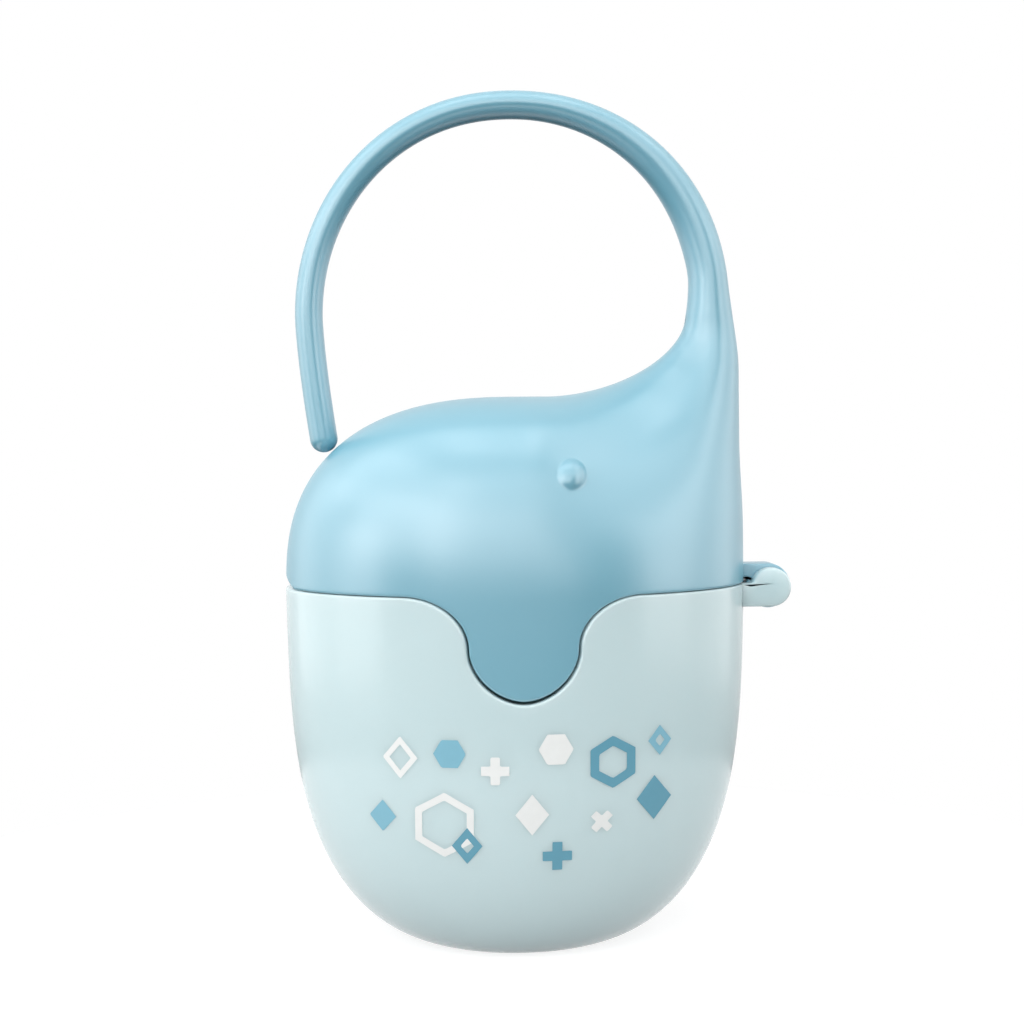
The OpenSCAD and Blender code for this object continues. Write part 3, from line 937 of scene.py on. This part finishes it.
    def build_outside(self, plan: MeshPlan) -> None:
        """Adds the head's outside down to just above the rim, and the trunk."""
        side = FORM.side_shares(self.side_columns)
        half = FORM.width / 2 - self.step
        fine = np.arange(self.eye_x - 2.7, self.eye_x + 2.7, 0.13)
        coarse = np.linspace(side[-1] * half, -side[-1] * half, 97)[1:-1]
        coarse = coarse[np.abs(coarse - self.eye_x) > 2.75]
        c = np.concatenate([side, np.sort(np.concatenate([coarse, fine])) / half, -side[::-1]])
        x = half * c
        first = int(np.argmax(x > self.root_share))
        col = np.clip((np.arange(len(c)) - (first - 1)) / (len(c) - first), 0.0, 1.0)
        _, top = self.crown_point(x, self.root_share)
        top = np.where(x > self.root_share, self.root_up, top)
        c = c.copy()
        c[first - 1] = self.root_share / half
        rim = self.rim_height(c)
        low = np.minimum(self.window_up, rim + self.low_share * np.maximum(top - rim, 0.0))
        v = np.sort(np.concatenate([np.linspace(0.0, 1.0, self.rows), np.linspace(0.23, 0.43, 24)]))[:, None]
        bent = blend(np.sin(v * np.pi / 2) ** 0.9, v, smooth_step(x / self.root_share))
        ease = np.where(x > self.root_share, v, bent)
        h = low + (np.maximum(top, low) - low) * ease
        pts = self.head_surface(c, h, col)
        self.emboss_eye(pts)
        self.low_line, self.columns = low, c
        for side_sign in Side:
            turn = (lambda p: p) if side_sign is Side.FRONT else mirrored
            plan.grid(plan.add(turn(pts)), flip=side_sign is Side.BACK)
        angle = np.pi * (1 + col[first - 1:])
        rings = []
        for mx, mz, nx, nz, width, depth in self.trunk_sections():
            r = width / 2 * np.cos(angle)
            rings.append(np.stack([mx + nx * r, -depth / 2 * np.abs(np.sin(angle)), mz + nz * r], -1))
        sweep = np.stack(rings)
        for side_sign in Side:
            turn = (lambda p: p) if side_sign is Side.FRONT else mirrored
            plan.grid(plan.add(turn(sweep)), flip=side_sign is Side.BACK)
        last = sweep[-1]
        ring = np.concatenate([last, mirrored(last)[::-1][1:-1]])
        hub = plan.add(ring.mean(0)[None])[0]
        plan.fan(plan.add(ring).tolist(), int(hub))

    def emboss_eye(self, pts: np.ndarray) -> None:
        """Raises the eye, a shallow cap of a ball with a small fillet round it, on the head's outside."""
        away = np.hypot(pts[..., 0] - self.eye_x, pts[..., 2] - FORM.height - self.eye_up)
        sunk, fillet = self.eye_radius - self.eye_out, 0.2
        ball = np.sqrt(np.maximum(self.eye_radius**2 - away**2, 0.0)) - sunk
        ball = np.where(away < self.eye_radius, ball, -sunk - (away - self.eye_radius))
        rise = 0.5 * (ball + np.sqrt(ball**2 + fillet**2)) - 0.009
        rise = np.where(away < self.eye_radius * 1.3, np.maximum(rise, 0.0), 0.0)
        normal = np.cross(np.gradient(pts, axis=1), np.gradient(pts, axis=0))
        normal /= np.maximum(np.linalg.norm(normal, axis=-1, keepdims=True), 1e-9)
        pts += normal * rise[..., None]

    def build_band(self, plan: MeshPlan) -> np.ndarray:
        """Adds the band from just above the rim down to the lower edge, with the lap tongues.

        Returns:
            Point numbers of the lower edge, all the way round.
        """
        lap = FORM.lap_curve(0.0) + [0.0, self.rim_gap]
        half = FORM.width / 2
        c, low = self.columns, self.low_line
        col = np.zeros(len(c))
        first = int(np.argmax(c * (half - self.step) > self.root_share))
        col = np.clip((np.arange(len(c)) - (first - 1)) / (len(c) - first), 0.0, 1.0)
        count = self.side_columns + 1
        edge = FORM.edge
        depths = np.concatenate([[0.0], edge * np.array([0.08, 0.2, 0.36, 0.56, 0.78, 1.0])])
        rims = []
        for side_sign in Side:
            turn = (lambda p: p) if side_sign is Side.FRONT else mirrored
            for part in (slice(0, count), slice(len(c) - count, len(c))):
                cs, cols, top = c[part], col[part], low[part]
                base = self.rim_height(cs)
                room = np.maximum(top - base, 1e-4)
                near = np.minimum(depths[:, None], room * 0.8)
                rest = near[-1] + (room - near[-1]) * np.linspace(0.0, 1.0, self.low_count)[1:, None]
                h = base + np.concatenate([near, rest])
                drop = quarter_drop(h - base, edge)
                pts = self.head_surface(cs, h, cols)
                pts = self.pull_in(pts, drop)
                plan.grid(plan.add(turn(pts)), flip=side_sign is Side.BACK)
            window = c[count - 1:len(c) - count + 1] * half
            upper = (self.window_up - self.rim_gap - edge) * np.linspace(0, 1, self.low_count)[1:]
            climb = self.rim_gap + np.concatenate([depths, edge + upper])
            left = np.stack([np.full(len(climb), -FORM.lap_half), climb], 1)
            right = left * [-1.0, 1.0]
            top_line = np.stack([window, np.full(len(window), self.window_up)], 1)
            frame_line = np.concatenate([right, top_line[::-1][1:-1], left[::-1]])

            def place(flat: np.ndarray, depth: np.ndarray) -> np.ndarray:
                """Lays flat window points on the head above the rim and on the lap below it."""
                share = flat[:, 0] / half
                above = self.head_surface(share, np.maximum(flat[:, 1], 0.0), np.zeros(len(share)))
                below = FORM.outside(share, np.minimum(flat[:, 1], 0.0) + FORM.height, self.step)
                pts = np.where((flat[:, 1] > 0)[:, None], above, below)
                return turn(self.pull_in(pts, quarter_drop(depth, edge)))

            fill_window(plan, frame_line, lap, place, edge)
            sides = c[:count - 1]
            whole = np.concatenate([
                np.stack([sides * half, self.rim_height(sides)], 1), lap,
                np.stack([-sides[::-1] * half, self.rim_height(-sides[::-1])], 1)])
            share = whole[:, 0] / half
            above = self.head_surface(share, np.maximum(whole[:, 1], 0.0), np.zeros(len(share)))
            below = FORM.outside(share, np.minimum(whole[:, 1], 0.0) + FORM.height, self.step)
            pts = self.pull_in(np.where((whole[:, 1] > 0)[:, None], above, below), np.full(len(share), edge))
            rims.append((turn(pts), whole))
        self.edge_line = rims[0][1]
        loop = np.concatenate([rims[0][0], rims[1][0][::-1][1:-1]])
        return plan.add(loop)

    @staticmethod
    def pull_in(pts: np.ndarray, drop: np.ndarray) -> np.ndarray:
        """Moves points of the front half inwards by a drop, towards the upright axis of the oval."""
        a, b = FORM.width / 2, FORM.depth / 2
        out = pts.copy()
        out[..., 0] *= 1 - drop / a
        out[..., 1] *= 1 - drop / b
        return out

    def build_inside(self, plan: MeshPlan, lower: np.ndarray) -> None:
        """Adds the lap's inner face, the collar and the roof.

        Args:
            plan: plan that takes the mesh.
            lower: point numbers of the lower edge.
        """
        half = FORM.width / 2
        line = self.edge_line
        share = line[:, 0] / half
        o1 = FORM.wall + self.collar_gap
        o2 = o1 + self.collar_thick

        def ring(height: np.ndarray, inset: float) -> np.ndarray:
            """Returns a closed ring at a height above the rim, inset from the cup's outside."""
            pts = FORM.outside(share, np.minimum(height, 0.0) + FORM.height, inset)
            pts[:, 2] = FORM.height + height
            return np.concatenate([pts, mirrored(pts)[::-1][1:-1]])

        flat = np.zeros(len(share))
        bottom = flat - self.collar
        rows = [ring(line[:, 1], o1)]
        for t in (0.25, 0.5, 0.75, 1.0):
            rows.append(ring(blend(line[:, 1], bottom, t), o1))
        rows += [ring(bottom, o2), ring(flat + 0.4, o2)]
        x = (self.side - FORM.wall) * share
        roof = (self.crown - FORM.wall) * round_fall(
            np.abs(x) / (self.side - FORM.wall), np.where(x < 0, self.forehead, 4.0))
        for e in np.radians(np.linspace(0.0, 90.0, 30)):
            h = blend(1.6, np.maximum(2.0, roof), math.sin(e) ** (2 / self.forehead))
            dome = (self.deep - FORM.wall) * FORM.across(share) * max(math.cos(e), 0.0) ** (2 / self.forehead)
            neck = self.half_depth(x, h + FORM.wall * 0.55) - FORM.wall * 0.95
            y = soft_least(dome, np.maximum(neck, 0.0)) if e < math.pi / 2 - 1e-6 else np.zeros(len(x))
            pts = np.stack([x, -y, FORM.height + h], -1)
            rows.append(np.concatenate([pts, mirrored(pts)[::-1][1:-1]]))
        ids = plan.add(np.stack(rows))
        plan.grid(np.concatenate([lower[None], ids]), closed=True)

    def build(self) -> bpy.types.Object:
        """Makes the lid as one mesh."""
        plan = MeshPlan()
        self.build_outside(plan)
        lower = self.build_band(plan)
        self.build_inside(plan, lower)
        bore = circle(HINGE.x, HINGE.z, HINGE.pin + HINGE.run)
        rounded_prism(plan, HINGE.knuckle_outline(), -HINGE.knuckle / 2, HINGE.knuckle / 2, 0.35, bore)
        return plan.mesh("elephant_lid")

    def dress(self, piece: bpy.types.Object) -> None:
        """Gives the lid its finish and its body."""
        crisp(piece)
        attach(piece, LID_PLASTIC.material(), Body.LID, "lid_plastic", "lid_head")


# ---------------------------------------------------------------- print


def flat_fill(loops: Sequence[np.ndarray], step: float) -> tuple[np.ndarray, list[tuple[int, ...]]]:
    """Fills a flat outline and leaves its holes open.

    Args:
        loops: the closed outline, then the closed outlines of its holes.
        step: spacing of the points inside.

    Returns:
        The points and the triangles between them.
    """
    fixed = np.concatenate(loops)
    edges, start = [], 0
    for loop in loops:
        edges += [(start + k, start + (k + 1) % len(loop)) for k in range(len(loop))]
        start += len(loop)

    def inked(points: np.ndarray) -> np.ndarray:
        """Tells which points lie inside the outline and outside its holes."""
        found = inside_loop(points, loops[0])
        for hole in loops[1:]:
            found &= ~inside_loop(points, hole)
        return found

    xs = np.arange(fixed[:, 0].min(), fixed[:, 0].max(), step)
    zs = np.arange(fixed[:, 1].min(), fixed[:, 1].max(), step)
    lattice = np.stack(np.meshgrid(xs, zs), -1).reshape(-1, 2)
    lattice = lattice[inked(lattice)]
    for loop in loops:
        lattice = lattice[distance_to_line(lattice, np.concatenate([loop, loop[:1]])) > step * 0.4]
    out = delaunay_2d_cdt([Vector(p) for p in np.concatenate([fixed, lattice]).tolist()], edges, [], 0, 1e-6)
    points = np.array([[p.x, p.y] for p in out[0]])
    middles = points[np.array(out[2])].mean(1)
    keep = inked(middles)
    return points, [tuple(face) for face, kept in zip(out[2], keep) if kept]


@dataclass(frozen=True)
class Mark:
    """One printed mark on the front of the cup, in millimetres."""

    motif: Motif
    x: float
    z: float
    size: float
    line: float = 0.0
    turn: float = 0.0

    def corners(self) -> np.ndarray:
        """Returns the corners of the motif at size 1, anticlockwise from the right."""
        if self.motif is Motif.DIAMOND:
            return np.array([[0.4, 0.0], [0.0, 0.5], [-0.4, 0.0], [0.0, -0.5]])
        if self.motif is Motif.HEXAGON:
            turn = np.radians(30.0 + 60.0 * np.arange(6))
            return 0.5 * np.stack([np.cos(turn), np.sin(turn)], 1)
        arm, tip = 0.17, 0.5
        return np.array([[tip, -arm], [tip, arm], [arm, arm], [arm, tip], [-arm, tip], [-arm, arm],
                         [-tip, arm], [-tip, -arm], [-arm, -arm], [-arm, -tip], [arm, -tip], [arm, -arm]])

    def loops(self, step: float) -> list[np.ndarray]:
        """Returns the outline, and the inner outline of a mark that is drawn as a line."""
        corners = self.corners()
        edge = np.roll(corners, -1, 0) - corners
        inner = np.abs(corners[:, 0] * edge[:, 1] - corners[:, 1] * edge[:, 0]) / np.hypot(*edge.T)
        sizes = [self.size]
        if self.line > 0:
            sizes.append(self.size - self.line / inner.min())
        c, s = math.cos(math.radians(self.turn)), math.sin(math.radians(self.turn))
        ring = corners @ np.array([[c, s], [-s, c]])
        closed = np.concatenate([ring, ring[:1]])
        return [spaced(closed * size, step)[:-1] + [self.x, self.z] for size in sizes]


@dataclass
class FrontPrint:
    """The pad-printed marks on the front of the cup, one thin film for each ink."""

    step: float = 0.35
    sunk: float = 0.02
    white: tuple[Mark, ...] = (
        Mark(Motif.DIAMOND, -17.6, 31.2, 6.2, 0.75),
        Mark(Motif.PLUS, -4.2, 29.6, 4.0),
        Mark(Motif.HEXAGON, 4.4, 32.6, 5.0, 0.0, 30.0),
        Mark(Motif.HEXAGON, -11.4, 21.6, 9.6, 1.0),
        Mark(Motif.DIAMOND, 1.0, 23.2, 6.0),
        Mark(Motif.PLUS, 11.0, 21.8, 3.4, 0.0, 45.0),
    )
    blue: tuple[Mark, ...] = (
        Mark(Motif.HEXAGON, 12.6, 30.4, 7.6, 1.25),
        Mark(Motif.DIAMOND, -8.2, 18.6, 5.4, 0.95),
        Mark(Motif.DIAMOND, 18.8, 24.6, 6.6),
        Mark(Motif.PLUS, 4.6, 17.0, 4.2),
    )
    sky: tuple[Mark, ...] = (
        Mark(Motif.HEXAGON, -10.6, 32.0, 4.6, 0.0, 30.0),
        Mark(Motif.DIAMOND, -20.2, 22.4, 4.8),
        Mark(Motif.DIAMOND, 19.6, 33.0, 4.4, 0.8),
    )

    def on_wall(self, flat: np.ndarray, proud: float) -> np.ndarray:
        """Lays flat points on the front of the cup, a little proud of it."""
        half = FORM.bowl(flat[:, 1] / FORM.height, FORM.foot_width / 2, FORM.width / 2)
        return FORM.outside(flat[:, 0] / half, flat[:, 1], -proud)

    def film(self, name: str, marks: Sequence[Mark], proud: float) -> bpy.types.Object:
        """Makes the film of one ink.

        Args:
            name: name of the piece.
            marks: the marks in this ink.
            proud: how far the film stands off the wall.

        Returns:
            The closed thin mesh.
        """
        plan = MeshPlan()
        for mark in marks:
            flat, faces = flat_fill(mark.loops(self.step), self.step * 2)
            top, low = plan.add(self.on_wall(flat, proud)), plan.add(self.on_wall(flat, -self.sunk))
            sides = {}
            for face in faces:
                plan.faces.append(tuple(int(top[k]) for k in face))
                plan.faces.append(tuple(int(low[k]) for k in reversed(face)))
                for a, b in zip(face, face[1:] + face[:1]):
                    if sides.pop((b, a), None) is None:
                        sides[a, b] = True
            for a, b in sides:
                plan.faces.append((int(top[b]), int(top[a]), int(low[a]), int(low[b])))
        return plan.mesh(name)

    def build(self) -> list[bpy.types.Object]:
        """Makes the films, white below the blues where marks cross."""
        return [self.film("print_white", self.white, 0.03), self.film("print_blue", self.blue, 0.045),
                self.film("print_sky", self.sky, 0.03)]

    def dress(self, films: Sequence[bpy.types.Object]) -> None:
        """Gives each film its ink and its body."""
        for film, ink in zip(films, (WHITE_INK, BLUE_INK, SKY_INK)):
            crisp(film, 40.0)
            attach(film, ink.material(), Body.CUP, "cup_plastic")


# ---------------------------------------------------------------- stage


@dataclass(frozen=True)
class Softbox:
    """One soft lamp, placed by its bearing and height as seen from the middle of the case."""

    name: str
    bearing: float
    elevation: float
    width: float
    height: float
    power: float
    distance: float = 0.7


@dataclass(frozen=True)
class Studio:
    """Camera, lamps, floor and world.

    The wall and the horizon say where, along Y and Z, the world turns white to glossy rays.
    """

    distance: float = 280.0
    eye_height: float = 77.34
    yaw: float = 2.598
    pitch: float = 2.526
    roll: float = 0.444
    lens: float = 64.0
    shift: float = -0.00276
    floor: float = 120.0
    floor_grey: float = 0.3
    floor_glow: float = 0.82
    world: float = 0.03
    wall: tuple[float, float] = (-0.15, 0.35)
    horizon: tuple[float, float] = (-0.35, -0.08)
    aim: tuple[float, float, float] = (0.0, 0.0, 0.065)
    lamps: tuple[Softbox, ...] = (
        Softbox("lamp_left_low", -70.0, 2.0, 0.34, 0.34, 0.8),
        Softbox("lamp_left_back", -105.0, 10.0, 0.6, 0.55, 1.1),
        Softbox("lamp_left_front", -51.0, 18.0, 0.64, 0.36, 1.6),
        Softbox("lamp_front", -6.0, 12.0, 0.8, 0.32, 1.6),
        Softbox("lamp_right_low", 65.0, 10.0, 0.36, 0.5, 1.3),
        Softbox("lamp_right_back", 100.0, 8.0, 0.55, 0.5, 0.9),
        Softbox("lamp_left_high", -68.0, 42.0, 0.95, 0.4, 2.2),
        Softbox("lamp_front_high", 5.0, 38.0, 0.75, 0.4, 1.5),
        Softbox("lamp_right_high", 75.0, 42.0, 0.6, 0.4, 1.0),
        Softbox("lamp_top_left", -90.0, 66.0, 0.4, 0.4, 0.6),
        Softbox("lamp_top_front", 0.0, 66.0, 0.5, 0.4, 0.6),
        Softbox("lamp_top_right", 90.0, 66.0, 0.4, 0.4, 0.55),
        Softbox("lamp_top", 0.0, 88.0, 0.4, 0.4, 0.6),
    )

    def light(self) -> None:
        """Makes the lamps."""
        aim = Vector(self.aim)
        for lamp in self.lamps:
            a, e = math.radians(lamp.bearing), math.radians(lamp.elevation)
            data = bpy.data.lights.new(lamp.name, "AREA")
            data.shape, data.size, data.size_y, data.energy = "RECTANGLE", lamp.width, lamp.height, lamp.power
            made = bpy.data.objects.new(lamp.name, data)
            back = Vector((math.sin(a) * math.cos(e), -math.cos(a) * math.cos(e), math.sin(e)))
            made.location = aim + back * lamp.distance
            made.rotation_euler = back.to_track_quat("Z", "Y").to_euler()
            bpy.context.scene.collection.objects.link(made)

    def background(self) -> None:
        """Makes the world, white to the camera and dim as a lamp, and the pale floor."""
        world = bpy.data.worlds.new("white_room")
        world.use_nodes = True
        nodes, links = world.node_tree.nodes, world.node_tree.links
        seen = nodes.new("ShaderNodeLightPath")
        shown = nodes.new("ShaderNodeMath")
        shown.operation = "MAXIMUM"
        strength = nodes.new("ShaderNodeMapRange")
        socket(strength, "To Min", self.world)
        socket(strength, "To Max", 1.0)
        where = nodes.new("ShaderNodeTexCoord")
        parts = nodes.new("ShaderNodeSeparateXYZ")
        behind = nodes.new("ShaderNodeMapRange")
        socket(behind, "From Min", self.wall[0])
        socket(behind, "From Max", self.wall[1])
        above = nodes.new("ShaderNodeMapRange")
        socket(above, "From Min", self.horizon[0])
        socket(above, "From Max", self.horizon[1])
        wall = nodes.new("ShaderNodeMath")
        wall.operation = "MULTIPLY"
        gloss = nodes.new("ShaderNodeMath")
        gloss.operation = "MULTIPLY"
        either = nodes.new("ShaderNodeMath")
        either.operation = "MAXIMUM"
        links.new(where.outputs["Generated"], parts.inputs[0])
        links.new(parts.outputs["Y"], behind.inputs["Value"])
        links.new(seen.outputs["Is Glossy Ray"], gloss.inputs[0])
        links.new(parts.outputs["Z"], above.inputs["Value"])
        links.new(behind.outputs["Result"], wall.inputs[0])
        links.new(above.outputs["Result"], wall.inputs[1])
        links.new(wall.outputs[0], gloss.inputs[1])
        links.new(seen.outputs["Is Camera Ray"], shown.inputs[0])
        links.new(seen.outputs["Is Transmission Ray"], shown.inputs[1])
        links.new(shown.outputs[0], either.inputs[0])
        links.new(gloss.outputs[0], either.inputs[1])
        links.new(either.outputs[0], strength.inputs["Value"])
        links.new(strength.outputs["Result"], nodes["Background"].inputs["Strength"])
        socket(nodes["Background"], "Color", (1.0, 1.0, 1.0, 1.0))
        bpy.context.scene.world = world
        plan = MeshPlan()
        turn = np.linspace(0.0, 2 * np.pi, 96, endpoint=False)
        ring = np.stack([self.floor * np.cos(turn), self.floor * np.sin(turn), np.zeros(96)], -1)
        hub = plan.add(np.array([[0.0, 0.0, 0.0]]))[0]
        plan.fan(plan.add(ring).tolist(), int(hub))
        floor = plan.mesh("floor")
        made = bpy.data.materials.new("white_floor")
        made.use_nodes = True
        nodes, links = made.node_tree.nodes, made.node_tree.links
        shader = nodes["Principled BSDF"]
        socket(shader, "Base Color", (*[self.floor_grey] * 3, 1.0))
        socket(shader, "Roughness", 0.9)
        socket(shader, "Specular IOR Level", 0.0)
        socket(shader, "Emission Color", (1.0, 1.0, 1.0, 1.0))
        seen = nodes.new("ShaderNodeLightPath")
        lift = nodes.new("ShaderNodeMath")
        lift.operation = "MULTIPLY"
        lift.inputs[1].default_value = self.floor_glow
        shown = nodes.new("ShaderNodeMath")
        shown.operation = "MAXIMUM"
        links.new(seen.outputs["Is Camera Ray"], shown.inputs[0])
        links.new(seen.outputs["Is Glossy Ray"], shown.inputs[1])
        links.new(shown.outputs[0], lift.inputs[0])
        links.new(lift.outputs[0], shader.inputs["Emission Strength"])
        floor.data.materials.append(made)

    def camera(self) -> None:
        """Makes the camera at the photograph's angle."""
        data = bpy.data.cameras.new("camera")
        data.lens, data.sensor_width, data.clip_start, data.shift_x = self.lens, 36.0, 0.01, self.shift
        made = bpy.data.objects.new("camera", data)
        yaw, pitch = math.radians(self.yaw), math.radians(self.pitch)
        back = Vector((-math.sin(yaw), -math.cos(yaw), 0.0))
        made.location = back * self.distance * MM + Vector((0.0, 0.0, self.eye_height * MM))
        turn = Matrix.Rotation(-yaw, 4, "Z") @ Matrix.Rotation(math.pi / 2 - pitch, 4, "X")
        made.rotation_euler = (turn @ Matrix.Rotation(math.radians(-self.roll), 4, "Z")).to_euler()
        bpy.context.scene.collection.objects.link(made)
        bpy.context.scene.camera = made

    def build(self) -> None:
        """Sets up the whole studio."""
        self.light()
        self.background()
        self.camera()
        bpy.context.scene.view_settings.view_transform = "Standard"


@dataclass
class Tray:
    """The drilled tray, shown by its own node with softened edges."""

    soften: float = 0.2

    def dress(self) -> None:
        """Softens the edges of the tray and gives it its finish."""
        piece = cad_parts["steam_tray"]
        bevel = piece.modifiers.new("soft_edges", "BEVEL")
        bevel.width = self.soften * MM
        bevel.segments = 2
        bevel.limit_method = "ANGLE"
        bevel.angle_limit = math.radians(50.0)
        material = TRAY_PLASTIC.material()
        if piece.data.materials:
            piece.material_slots[0].material = material
        else:
            piece.data.materials.append(material)
        LOG.info("steam_tray dressed")


def main() -> None:
    """Builds the case piece by piece, then the studio round it."""
    logging.basicConfig(level=logging.INFO, format="%(name)s: %(message)s")
    for maker in (Cup(), HeadLid(), HingePin(), FrontPrint()):
        maker.dress(maker.build())
    Tray().dress()
    Studio().build()


if __name__ == "__main__":
    main()
